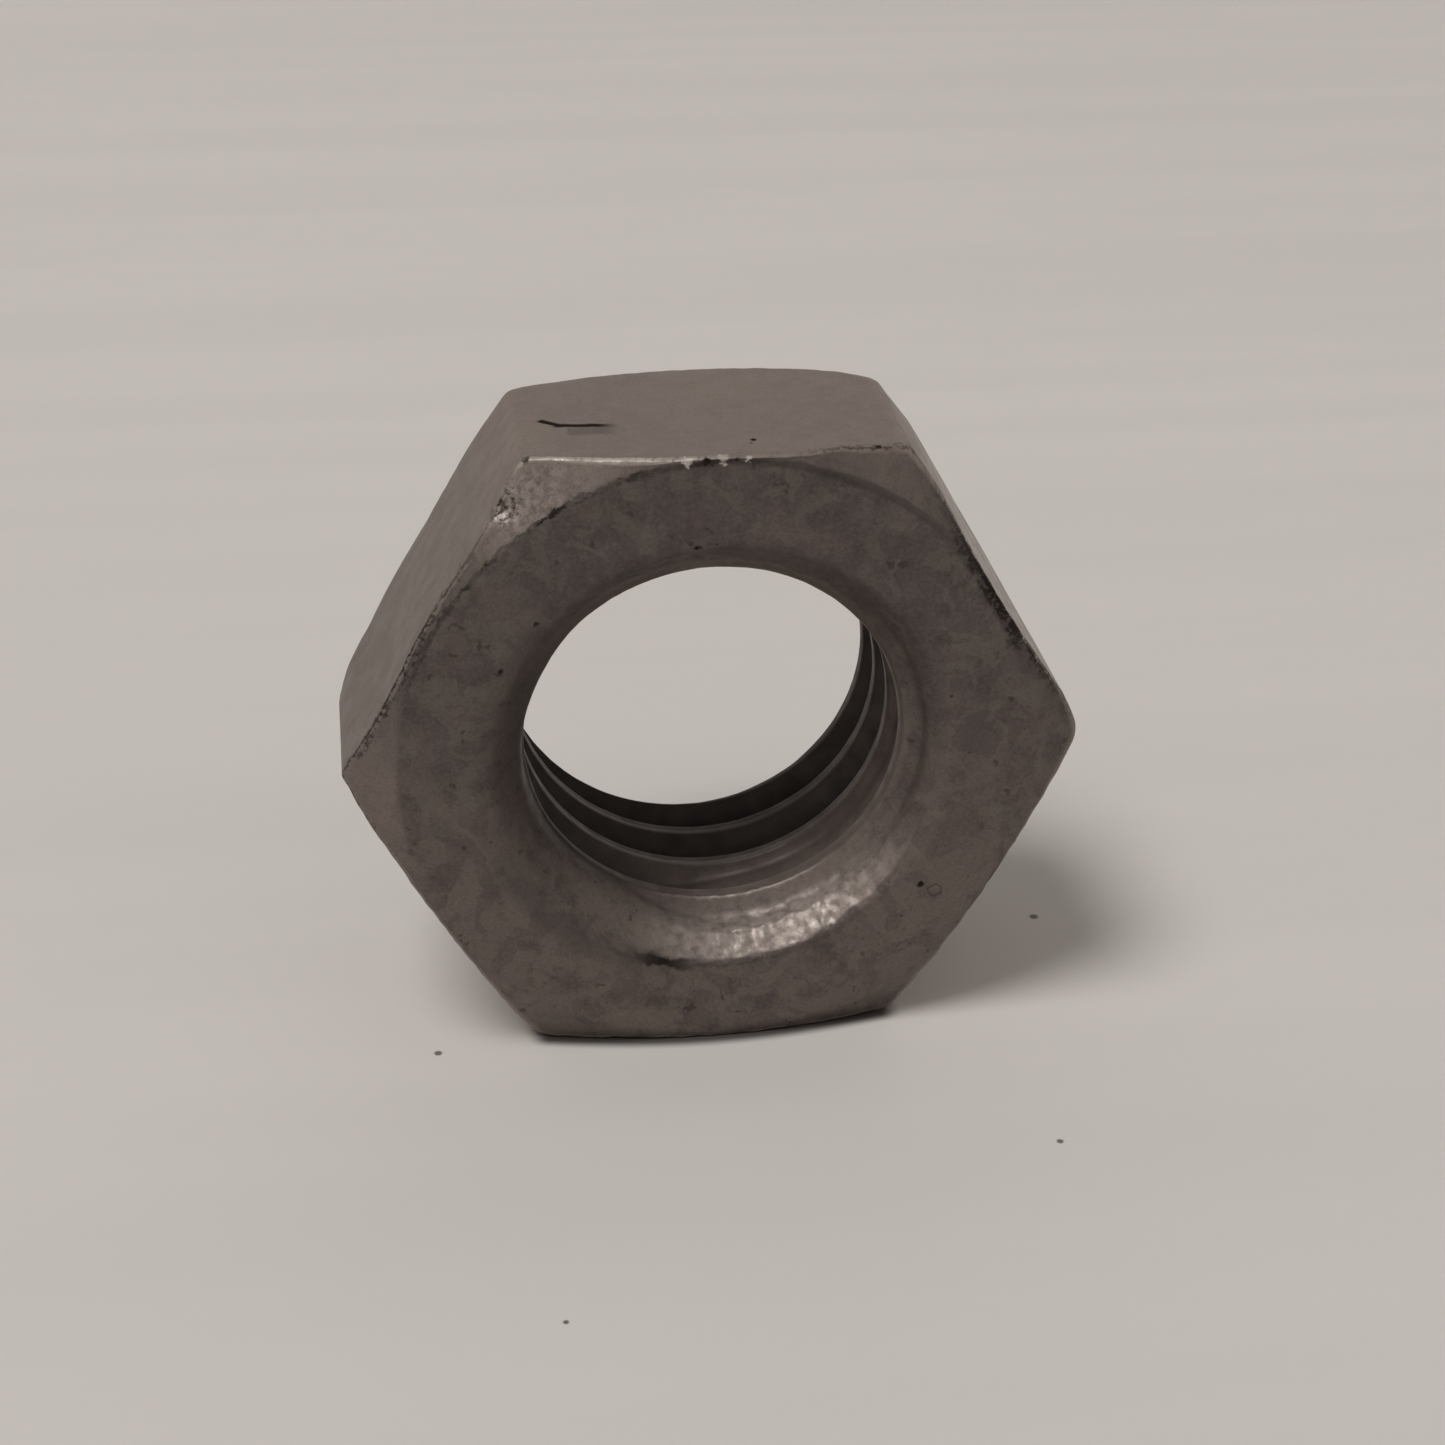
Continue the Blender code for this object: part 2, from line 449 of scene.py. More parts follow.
def field(points, scale, seed, octaves=1):
    """Noise at each point, about -1 to 1, with the given number of lumps per mm."""
    shift = Vector((seed, 2.3 * seed, -1.7 * seed))
    total = np.zeros(len(points))
    size = 1.0
    for octave in range(octaves):
        step = [noise.noise(Vector(p) * (scale * 2**octave) + shift) for p in points]
        total += np.array(step) * size
        size *= 0.5
    return total * 1.5


def polar(points):
    radius = np.hypot(points[:, 0], points[:, 2])
    angle = np.arctan2(points[:, 2], points[:, 0]) % math.tau
    return radius, angle


def near_point(points, centre, size):
    """1 at a point, falling smoothly to 0 at size mm away from it."""
    away = np.linalg.norm(points - np.array(centre), axis=1)
    return 1.0 - smooth_step(0.0, size, away)


def mouth_side(points):
    """Below 0 inside the front opening and above 0 on the front face, in mm."""
    radius, _ = polar(points)
    return (radius - MOUTH) - (points[:, 1] + HALF)


def edge_side(points):
    """Below 0 in front of the front edge and above 0 behind it on the flats, in mm."""
    radius, angle = polar(points)
    edge_radius, edge_y = front_edge_place(angle)
    return (points[:, 1] - edge_y) - (edge_radius - radius)


def zone_test(mesh):
    """A function that gives 1 at the vertices in any of the named zones and 0 elsewhere."""
    zone = np.zeros(len(mesh.vertices), np.float32)
    mesh.attributes["zone"].data.foreach_get("value", zone)
    zone = np.round(zone).astype(int)
    return lambda *names: np.isin(zone, [ZONES.index(name) for name in names]) * 1.0


def coating_waves(points, is_zone):
    """Waves of the zinc: gentle on the flats, lumpier on the faces, fine in the bore."""
    depth = points[:, 1] + HALF
    front = 1.0 - smooth_step(0.70, 1.5, depth)
    back = smooth_step(-0.6, -0.17, points[:, 1] - HALF)
    outside = np.where(is_zone("thread") > 0, np.maximum(front, back), 1.0)
    broad = field(points, 0.35, 1.0)
    small = field(points, 1.6, 5.0, 2)
    on_flats = 0.008 * broad - 0.01
    on_faces = 0.010 * broad + 0.006 * small - 0.02
    move = np.where(is_zone("flat", "edge") > 0, on_flats, on_faces)
    move = outside * move + (1.0 - outside) * 0.005 * small
    return move + 0.02 * crest_burr(points) * (1.0 - outside)


def crest_burr(points):
    """1 along a ragged burr on one crest, at the bottom of the bore."""
    _, angle = polar(points)
    nearest, behind = crest_place(angle, points[:, 1])
    line = 1.0 - smooth_step(0.03, 0.10, np.abs(behind + BURR_PLACE))
    burr = (nearest == BURR_CREST) * line * near_angle(angle, 278.0, 40.0)
    return burr * (0.6 + field(points, 4.0, 17.0))


def weather(mesh):
    """Waves, zinc lumps, worn edges and knocks, as real shape along the normals."""
    points = read_points(mesh)
    normals = read_normals(mesh)
    is_zone = zone_test(mesh)
    _, angle = polar(points)
    depth = points[:, 1] + HALF
    move = coating_waves(points, is_zone)

    lump = field(points, 3.2, 9.0, 2)
    in_cone = 1.0 - smooth_step(-0.25, 0.15, mouth_side(points))
    in_cone = in_cone * (1.0 - smooth_step(1.2, 1.6, depth))
    in_cone = in_cone * (0.12 + 0.88 * near_angle(angle, 284.0, 56.0))
    move = move + 0.045 * in_cone * lump

    edge = is_zone("edge")
    move = move + 0.02 * edge * field(points, 2.2, 13.0, 2)
    bead = near_angle(angle, TOP_FLAT, 10.0) * edge
    move = move + 0.10 * bead * np.maximum(lump, 0.0)

    nick = near_point(points, NICK, 0.6)
    move = move - 0.22 * nick * (0.8 + 1.2 * lump)
    points = points + normals * move[:, None]
    points[:, 1] = np.clip(points[:, 1], -HALF, HALF)
    points[:, 2] = np.clip(points[:, 2], -FLAT, FLAT)
    mesh.vertices.foreach_set("co", (points * MM).ravel())
    mesh.update()


OUTER = ("face", "rim", "chamfer")
SKIRT = ("rim", "chamfer", "edge", "flat")
SIDES = ("edge", "flat", "back_edge")

# Dirt, wear, painted shade and painted highlights that lie along stretches of the ring: the
# zones each is in, and for each stretch its direction and reach in degrees, its falloff and its
# strength
STRETCHES = {
    # painted highlight: the upper right flat, seen edge-on, made bright and streaky
    "strip_highlight": (SIDES, ((UPPER_RIGHT_FLAT, 32.0, 0.4, 1.0),)),
    # painted shade: the left flats are made darker
    "left": (SIDES, ((165.0, 46.0, 0.3, 1.0),)),
    "rim_dirt": (OUTER, ((118.0, 52.0, 0.4, 1.0),)),
    "rim_haze": (OUTER, ((70.0, 60.0, 0.6, 1.0),)),
    "edge_dirt": (SKIRT, ((160.0, 36.0, 0.4, 1.0), (66.0, 12.0, 0.5, 0.8))),
    "strip_dirt": (SKIRT, ((UPPER_RIGHT_FLAT, 30.0, 0.5, 1.0),)),
    # painted highlight along the top front edge
    "edge_highlight": (SKIRT, ((107.0, 18.0, 0.5, 1.0),)),
    "mouth_dirt": (ZONES, ((275.0, 48.0, 0.6, 0.4),)),
    "slash": (ZONES, ((255.5, 9.0, 0.4, 1.0),)),
    # painted shade round the lower left of the mouth
    "mouth_shade": (ZONES, ((228.0, 42.0, 0.7, 1.0),)),
}


def stretch_masks(angle, is_zone):
    """The masks that STRETCHES describes."""
    masks = {}
    for name, (zones, stretches) in STRETCHES.items():
        total = 0.0
        for centre, reach, falloff, strength in stretches:
            total = total + strength * near_angle(angle, centre, reach, falloff)
        masks[name] = is_zone(*zones) * total
    return masks


def bore_masks(points, angle, is_zone):
    """Bare steel, crests rubbed and with a painted highlight, their burr, melted zinc with a
    painted highlight, and painted shade deep in the bore and on its left.
    """
    depth = points[:, 1] + HALF
    bore = is_zone("thread", "cone")
    thread = is_zone("thread")
    behind_front = behind_front_crest(angle, points[:, 1])
    rough = field(points, 2.4, 27.0, 2)
    bare = smooth_step(-0.36, -0.14, behind_front + 0.08 * rough) * bore
    nearest, behind = crest_place(angle, points[:, 1])
    crest = 1.0 - smooth_step(0.07, 0.14, np.abs(behind + 0.13))
    # crests painted lighter: rubbed steel, and a painted highlight
    land = crest * thread * (nearest < 1.5)
    land = land * (0.35 + 0.52 * near_angle(angle, 235.0, 75.0, 0.5))
    # painted shade: darker deeper in the bore, a little less on the right
    deep = smooth_step(1.2, 2.1, behind_front)
    deep = deep * (1.0 - 0.25 * near_angle(angle, 335.0, 60.0))
    # painted shade on the left side of the bore
    left = near_angle(angle, 212.0, 64.0, 0.4) * smooth_step(1.1, 2.3, depth)
    bore_shade = np.maximum(deep, left) * bore * (1.0 - land)
    # painted shade over the left of the bore and the mouth
    dusk = 0.5 * near_angle(angle, 165.0, 85.0) * smooth_step(-0.2, 0.9, depth)
    lumpy = (1.0 - bare) * (1.0 - 0.75 * smooth_step(-0.72, -0.52, behind_front))
    return {
        "bare": bare,
        "land": land,
        "burr": thread * (nearest == BURR_CREST) * near_angle(angle, 278.0, 38.0),
        "bore_shade": np.maximum(bore_shade, dusk * np.maximum(bore, is_zone("mouth"))),
        # melted zinc lumps, with a painted highlight where the light catches them
        "cone_melt_and_highlight": bore * lumpy * near_angle(angle, 291.0, 47.0, 0.6),
    }


def face_masks(points, radius, angle, is_zone, zinc_in_bore):
    """Where the zinc is dull, as on the faces, and where the front chamfer is worn."""
    front = is_zone("face", "mouth", "cone", "rim", "chamfer")
    back = is_zone("back_face", "back_mouth", "back_rim", "back_chamfer")
    face = np.maximum(front, back) + zinc_in_bore
    chamfer = is_zone("chamfer", "rim") * smooth_step(-0.06, 0.08, radius - FRONT_RIM)
    face = face - chamfer * 0.45 * near_angle(angle, LEFT_CORNER, 26.0)
    face = face - chamfer * 0.30 * near_angle(angle, UPPER_RIGHT_CORNER, 26.0)
    upper_left = near_angle(angle, UPPER_LEFT_CORNER, 24.0)
    face = face - chamfer * 0.75 * np.minimum(1.8 * upper_left, 1.0)
    nick = near_point(points, NICK, 1.1)
    worn = chamfer * np.maximum(0.30 * near_angle(angle, 122.0, 16.0), 0.95 * nick)
    return {"face": face, "worn": np.maximum(worn, is_zone("edge") * nick)}


def add_layer(mesh, name, values):
    layer = mesh.attributes.new(name, "FLOAT", "POINT")
    layer.data.foreach_set("value", values.astype(np.float32))


def paint(mesh):
    """Masks from 0 to 1, and distances to edges in mm, that the material reads."""
    points = read_points(mesh)
    radius, angle = polar(points)
    is_zone = zone_test(mesh)
    _, behind = crest_place(angle, points[:, 1])
    masks = bore_masks(points, angle, is_zone)
    zinc_in_bore = is_zone("thread", "cone") * (1.0 - masks["bare"])
    masks.update(face_masks(points, radius, angle, is_zone, zinc_in_bore))
    masks.update(stretch_masks(angle, is_zone))
    for name, values in masks.items():
        add_layer(mesh, name, np.clip(values, 0.0, 1.0))
    add_layer(mesh, "rim_side", radius - FRONT_RIM)
    add_layer(mesh, "burr_side", behind + BURR_PLACE)
    add_layer(mesh, "edge_side", edge_side(points))
    add_layer(mesh, "mouth_side", mouth_side(points))
    mesh.attributes.remove(mesh.attributes["zone"])


class Nodes:
    """Short calls for building a node tree."""

    def __init__(self, material):
        material.use_nodes = True
        self.tree = material.node_tree
        self.tree.nodes.clear()
        self.coords = self.tree.nodes.new("ShaderNodeTexCoord").outputs["Object"]

    def put(self, socket, value):
        if isinstance(value, bpy.types.NodeSocket):
            self.tree.links.new(value, socket)
        else:
            socket.default_value = value

    def math(self, operation, a, b=0.0, c=0.0, clamp=False):
        node = self.tree.nodes.new("ShaderNodeMath")
        node.operation = operation
        node.use_clamp = clamp
        self.put(node.inputs[0], a)
        self.put(node.inputs[1], b)
        self.put(node.inputs[2], c)
        return node.outputs[0]

    def most(self, *values):
        total = values[0]
        for value in values[1:]:
            total = self.math("MAXIMUM", total, value)
        return total

    def times(self, *values):
        total = values[0]
        for value in values[1:]:
            total = self.math("MULTIPLY", total, value)
        return total

    def noise(self, scale, detail=2.0, roughness=0.5, vector=None, distortion=0.0):
        node = self.tree.nodes.new("ShaderNodeTexNoise")
        self.put(node.inputs["Vector"], vector or self.coords)
        node.inputs["Scale"].default_value = scale
        node.inputs["Detail"].default_value = detail
        node.inputs["Roughness"].default_value = roughness
        node.inputs["Distortion"].default_value = distortion
        return node.outputs["Fac"]

    def step(self, value, low, high, out_low=0.0, out_high=1.0):
        node = self.tree.nodes.new("ShaderNodeMapRange")
        node.interpolation_type = "SMOOTHSTEP"
        self.put(node.inputs["Value"], value)
        node.inputs["From Min"].default_value = low
        node.inputs["From Max"].default_value = high
        node.inputs["To Min"].default_value = out_low
        node.inputs["To Max"].default_value = out_high
        return node.outputs["Result"]

    def mix(self, factor, a, b):
        node = self.tree.nodes.new("ShaderNodeMix")
        node.data_type = "RGBA"
        self.put(node.inputs[0], factor)
        self.put(node.inputs[6], a)
        self.put(node.inputs[7], b)
        return node.outputs[2]

    def attribute(self, name):
        node = self.tree.nodes.new("ShaderNodeAttribute")
        node.attribute_name = name
        return node.outputs["Fac"]

    def line(self, side, weight, wobble, width, sway=0.3, place=0.0):
        """1 along a thin wavering line where the named side attribute is at a place in mm."""
        away = self.math("SUBTRACT", self.attribute(side), place)
        wave = self.math("SUBTRACT", wobble, 0.5)
        bent = self.math("MULTIPLY_ADD", wave, sway, away)
        near = self.step(self.math("ABSOLUTE", bent), 0.35 * width, width, 1.0, 0.0)
        return self.math("MULTIPLY", near, self.attribute(weight))

    def streaks(self, scale):
        """Noise drawn out along one direction; scale is in lumps per mm for x, y and z."""
        node = self.tree.nodes.new("ShaderNodeMapping")
        node.inputs["Scale"].default_value = scale
        self.put(node.inputs["Vector"], self.coords)
        return self.step(self.noise(0.35 / MM, 4.0, 0.6, vector=node.outputs[0]), 0.34, 0.62)

    def axis(self, name):
        node = self.tree.nodes.new("ShaderNodeSeparateXYZ")
        self.put(node.inputs[0], self.coords)
        return node.outputs[name]

    def distance(self, place):
        node = self.tree.nodes.new("ShaderNodeVectorMath")
        node.operation = "DISTANCE"
        self.put(node.inputs[0], self.coords)
        node.inputs[1].default_value = place
        return node.outputs["Value"]

    def bump(self, height, distance, normal=None, strength=1.0):
        node = self.tree.nodes.new("ShaderNodeBump")
        node.inputs["Strength"].default_value = strength
        node.inputs["Distance"].default_value = distance
        self.put(node.inputs["Height"], height)
        if normal is not None:
            self.put(node.inputs["Normal"], normal)
        return node.outputs["Normal"]

    def surface(self, **inputs):
        shader = self.tree.nodes.new("ShaderNodeBsdfPrincipled")
        for name, value in inputs.items():
            self.put(shader.inputs[name.replace("_", " ")], value)
        output = self.tree.nodes.new("ShaderNodeOutputMaterial")
        self.tree.links.new(shader.outputs["BSDF"], output.inputs["Surface"])


# Small dark pits: x, y, z and size in mm
FACE_MARKS = (
    (-0.75, -4.1, 6.8, 0.13), (-0.62, -4.1, 6.8, 0.11), (-0.2, -4.1, 6.9, 0.07),
    (-3.5, -4.1, 5.75, 0.10), (-5.25, -4.1, 4.75, 0.13), (-5.0, -4.1, 4.5, 0.09),
    (-6.3, -4.1, 3.35, 0.13), (-6.9, -4.1, 0.5, 0.10), (-9.25, -4.1, 2.35, 0.09),
    (6.7, -4.1, 1.7, 0.07), (6.75, -4.1, 0.1, 0.07), (6.1, -4.1, -4.6, 0.09),
    (4.4, -3.55, 9.5, 0.17), (4.75, -3.5, 9.5, 0.11), (5.2, -3.35, 9.5, 0.13),
    (1.0, -2.85, 9.5, 0.11), (0.9, -3.1, 9.5, 0.08), (-5.35, -3.3, 9.35, 0.12),
)
RING_MARK = (6.56, -4.1, -4.8, 0.34)

# Larger dark stains on the front face
STAINS = (
    (6.9, -4.1, 2.2, 0.42), (7.6, -4.1, 0.4, 0.85), (6.3, -4.1, 3.6, 0.45),
    (2.0, -4.1, 8.0, 0.45), (7.0, -4.1, -1.5, 0.4), (-8.0, -4.1, -0.2, 0.4),
)

# Bright zinc beads on the top front edge, and the dark gaps between them
BEADS = ((-1.0, -4.03, 9.47, 0.19), (0.0, -4.03, 9.47, 0.20), (0.68, -4.03, 9.47, 0.11))
BEAD_GAPS = ((-0.5, -4.08, 9.40, 0.12), (0.36, -4.08, 9.42, 0.09), (-1.45, -4.08, 9.38, 0.07))

# The bent scratch on the top flat and the smudge beside it: start, end and width
SCRATCHES = (((-4.80, -0.58), (-4.10, -1.20), 0.16), ((-4.45, -1.05), (-2.6, -1.26), 0.17))
SMUDGE = ((-4.1, -1.55), (-2.6, -1.62), 0.42)

# Linear colours of the zinc: of the flats, of the faces, of what lies on them, and of painted
# shade and painted highlights
FLAT_TONES = ((0.240, 0.194, 0.167, 1), (0.223, 0.183, 0.160, 1))
# painted shade of the left flats
LEFT_FLAT_SHADE_TONE = (0.172, 0.144, 0.127, 1)
FLAT_SHADE = (0.14, 0.12, 0.106, 1)
FACE_TONES = ((0.107, 0.086, 0.078, 1), (0.078, 0.065, 0.061, 1))
# painted light on the lower part of the faces
LOW_FACE_LIGHT_TONE = (0.160, 0.127, 0.111, 1)
FACE_SHADE = (0.062, 0.051, 0.048, 1)
VIOLET_TONE = (0.075, 0.058, 0.057, 1)
OLIVE_TONE = (0.140, 0.120, 0.098, 1)
PALE_TONE = (0.150, 0.120, 0.106, 1)
GRAIN_TONE = (0.24, 0.196, 0.172, 1)
SPECKLE_TONE = (0.055, 0.045, 0.042, 1)
STAIN_TONE = (0.048, 0.038, 0.039, 1)
PIT_TONE = (0.03, 0.024, 0.02, 1)
# soft dark haze, and the painted shade at the mouth
HAZE_AND_SHADE_TONE = (0.050, 0.041, 0.037, 1)
# bright zinc for real wear and beads, and for the painted highlights
BRIGHT_TONE = (0.50, 0.45, 0.41, 1)
# melted zinc, painted bright as a highlight
MELT_AND_HIGHLIGHT_TONE = (0.38, 0.325, 0.29, 1)

# Linear colours of the steel in the thread, of dirt, and of the painted shade in the bore
STEEL_TONES = ((0.150, 0.118, 0.102, 1), (0.115, 0.091, 0.080, 1))
LAND_TONE = (0.21, 0.178, 0.16, 1)
BURR_TONE = (0.45, 0.40, 0.36, 1)
# painted shade in the bore
BORE_SHADE_TONE = (0.022, 0.017, 0.015, 1)
DIRT_TONE = (0.020, 0.016, 0.014, 1)
SMUDGE_TONE = (0.05, 0.042, 0.037, 1)


def marks(n, places, wobble, ragged=0.3):
    """1 inside small ragged spots, each given as x, y, z and size in mm."""
    reach = 0.36 * ragged
    spots = []
    for x, y, z, size in places:
        away = n.distance((x * MM, y * MM, z * MM))
        away = n.math("MULTIPLY_ADD", wobble, ragged * MM, away)
        spots.append(n.step(away, (size + reach) * MM, (size + reach + 0.07) * MM, 1.0, 0.0))
    return n.most(*spots)


def ring_mark(n, wobble):
    """1 on a small ring-shaped blemish."""
    x, y, z, size = RING_MARK
    away = n.distance((x * MM, y * MM, z * MM))
    away = n.math("MULTIPLY_ADD", wobble, 0.3 * MM, away)
    from_ring = n.math("ABSOLUTE", n.math("SUBTRACT", away, size * MM))
    return n.step(from_ring, 0.01 * MM, 0.05 * MM, 0.4, 0.0)


def scratch(n, start, end, width):
    """1 along a tapered scratch on the top flat between two (x, y) points in mm."""
    length = math.hypot(end[0] - start[0], end[1] - start[1])
    turn = math.atan2(end[1] - start[1], end[0] - start[0])
    node = n.tree.nodes.new("ShaderNodeMapping")
    node.vector_type = "TEXTURE"
    node.inputs["Location"].default_value = (start[0] * MM, start[1] * MM, FLAT * MM)
    node.inputs["Rotation"].default_value = (0.0, 0.0, turn)
    n.put(node.inputs["Vector"], n.coords)
    split = n.tree.nodes.new("ShaderNodeSeparateXYZ")
    n.put(split.inputs[0], node.outputs[0])
    along = n.math("MULTIPLY", split.outputs["X"], PER_MM / length)
    before = n.step(along, -0.02, 0.06)
    after = n.step(along, 0.7, 1.05, 1.0, 0.0)
    side = n.math("SUBTRACT", split.outputs["Y"], 0.06 * MM)
    bent = n.math("MULTIPLY_ADD", n.noise(2.5 * PER_MM, 2.0), 0.12 * MM, side)
    across = n.step(n.math("ABSOLUTE", bent), 0.4 * width * MM, width * MM, 1.0, 0.0)
    high = n.step(split.outputs["Z"], -0.3 * MM, -0.1 * MM)
    return n.times(n.times(before, after), n.times(across, high))


class Patterns:
    """The noises that several parts of the zinc share, from the broadest to the finest."""

    def __init__(self, n):
        self.broad = n.noise(0.22 * PER_MM, 3.0, 0.6)
        self.patch = n.noise(0.5 * PER_MM, 3.0, 0.55, distortion=0.6)
        self.mottle = n.noise(1.3 * PER_MM, 4.0, 0.62)
        self.ragged = n.noise(3.2 * PER_MM, 3.0, 0.65)
        self.crumb = n.noise(5.5 * PER_MM, 3.0, 0.7)
        self.grain = n.noise(9.0 * PER_MM, 2.0, 0.6)


def flat_zinc(n, p):
    """The clean, even zinc of the wrench flats, with painted shade on the left flats."""
    zinc = n.mix(n.step(p.broad, 0.35, 0.65), *FLAT_TONES)
    # painted shade darkens the left flats
    zinc = n.mix(n.attribute("left"), zinc, LEFT_FLAT_SHADE_TONE)
    return n.mix(n.step(p.mottle, 0.58, 0.8, 0.0, 0.22), zinc, FLAT_SHADE)


def face_zinc(n, p):
    """The dull zinc of the faces, with painted light that makes it paler towards the floor."""
    # painted light: the face made paler towards the floor
    low = n.step(n.axis("Z"), 5.0 * MM, -5.0 * MM)
    violet = n.noise(0.6 * PER_MM, 4.0, 0.6, distortion=1.2)
    olive = n.noise(1.0 * PER_MM, 4.0, 0.6, distortion=0.8)
    zinc = n.mix(n.step(p.patch, 0.36, 0.62), *FACE_TONES)
    zinc = n.mix(n.times(low, 0.75), zinc, LOW_FACE_LIGHT_TONE)
    zinc = n.mix(n.step(p.mottle, 0.50, 0.70, 0.0, 0.65), zinc, FACE_SHADE)
    zinc = n.mix(n.step(violet, 0.50, 0.55, 0.0, 0.50), zinc, VIOLET_TONE)
    zinc = n.mix(n.step(olive, 0.53, 0.58, 0.0, 0.45), zinc, OLIVE_TONE)
    return n.mix(n.step(p.mottle, 0.48, 0.30, 0.0, 0.35), zinc, PALE_TONE)


def spotted_zinc(n, p, zinc):
    """Grain, stains, pits and soft dark haze over the zinc, and painted shade round the lower
    left of the mouth.
    """
    zinc = n.mix(n.step(p.grain, 0.38, 0.66, 0.0, 0.15), zinc, GRAIN_TONE)
    speckle = n.noise(16.0 * PER_MM, 1.0)
    zinc = n.mix(n.step(speckle, 0.55, 0.70, 0.0, 0.35), zinc, SPECKLE_TONE)
    zinc = n.mix(n.times(marks(n, STAINS, p.mottle, 2.0), 0.4), zinc, STAIN_TONE)
    pits = n.step(n.noise(2.1 * PER_MM, 2.0), 0.69, 0.73, 0.0, 0.6)
    zinc = n.mix(n.times(n.attribute("face"), pits), zinc, PIT_TONE)
    haze_and_shade = n.most(
        n.times(n.line("rim_side", "rim_haze", p.mottle, 0.17, 0.2), 1.4),
        n.line("edge_side", "strip_dirt", p.mottle, 0.85, 0.6, -0.3),
        # painted shade: the face darkened round the lower left of the mouth
        n.line("mouth_side", "mouth_shade", p.mottle, 0.75, 0.4),
    )
    return n.mix(n.times(haze_and_shade, 0.5), zinc, HAZE_AND_SHADE_TONE)


def bright_mask(n, p):
    """Zinc rubbed or knocked bright, bright zinc beads, and painted highlights along the top
    front edge and on the streaky upper right flat.
    """
    # painted highlight along the top front edge, broken up, together with the bright zinc beads
    edge_highlight_and_beads = n.line("edge_side", "edge_highlight", p.ragged, 0.14, 0.22)
    edge_highlight_and_beads = n.times(edge_highlight_and_beads, n.step(p.crumb, 0.32, 0.5))
    edge_highlight_and_beads = n.most(edge_highlight_and_beads, marks(n, BEADS, p.crumb, 0.6))
    worn = n.step(p.ragged, 0.34, 0.66)
    worn = n.math("MULTIPLY", n.attribute("worn"), worn, clamp=True)
    # painted highlight on the upper right flat, drawn out in streaks
    streak = n.times(n.streaks((30.0, 3.0, 0.35)), n.step(p.ragged, 0.35, 0.6, 0.6, 1.0))
    streak = n.math("MULTIPLY_ADD", streak, 0.75, 0.20)
    return n.most(n.most(worn, edge_highlight_and_beads), n.times(n.attribute("strip_highlight"), streak))


def thread_steel(n, p):
    """Bare steel, brighter on the crests, with a burr on one of them."""
    steel = n.mix(n.step(p.mottle, 0.3, 0.7), *STEEL_TONES)
    # crest lands: rubbed steel with a painted highlight
    steel = n.mix(n.attribute("land"), steel, LAND_TONE)
    burr = n.line("burr_side", "burr", p.ragged, 0.045, 0.2)
    return n.mix(n.times(burr, 0.75), steel, BURR_TONE)


def dirt_mask(n, p):
    """Dark dirt along the rim, the edges and the mouth, and in the knock."""
    rim = n.line("rim_side", "rim_dirt", p.ragged, 0.10, 0.42)
    rim = n.times(rim, n.step(p.patch, 0.44, 0.54, 0.5, 1.0))
    left = n.line("edge_side", "edge_dirt", p.crumb, 0.08, 0.5)
    left_blotch = n.line("edge_side", "edge_dirt", p.patch, 0.28, 1.6)
    left_blotch = n.times(left_blotch, n.step(p.crumb, 0.50, 0.58, 0.0, 0.8))
    right = n.line("edge_side", "strip_dirt", p.crumb, 0.16, 0.9, -0.06)
    right_blotch = n.line("edge_side", "strip_dirt", p.patch, 0.42, 2.0, -0.2)
    right_blotch = n.times(right_blotch, n.step(p.ragged, 0.44, 0.54, 0.0, 0.85))
    mouth = n.line("mouth_side", "mouth_dirt", p.ragged, 0.16, 0.5)
    dirt = n.most(rim, left, left_blotch, right, right_blotch, mouth)
    dirt = n.times(dirt, n.step(p.crumb, 0.34, 0.50, 0.25, 0.95))
    knock = n.times(n.attribute("worn"), n.step(p.crumb, 0.52, 0.58))
    slash = n.line("mouth_side", "slash", p.mottle, 0.27, 0.8)
    return n.most(dirt, knock, slash)


def dark_mask(n, p):
    """Everything nearly black: dirt, pits, the ring-shaped blemish and the scratch."""
    spots = n.most(marks(n, FACE_MARKS, p.ragged), marks(n, BEAD_GAPS, p.crumb))
    spots = n.most(spots, ring_mark(n, p.ragged))
    cut = n.most(*[scratch(n, *place) for place in SCRATCHES])
    return n.most(dirt_mask(n, p), spots, cut)


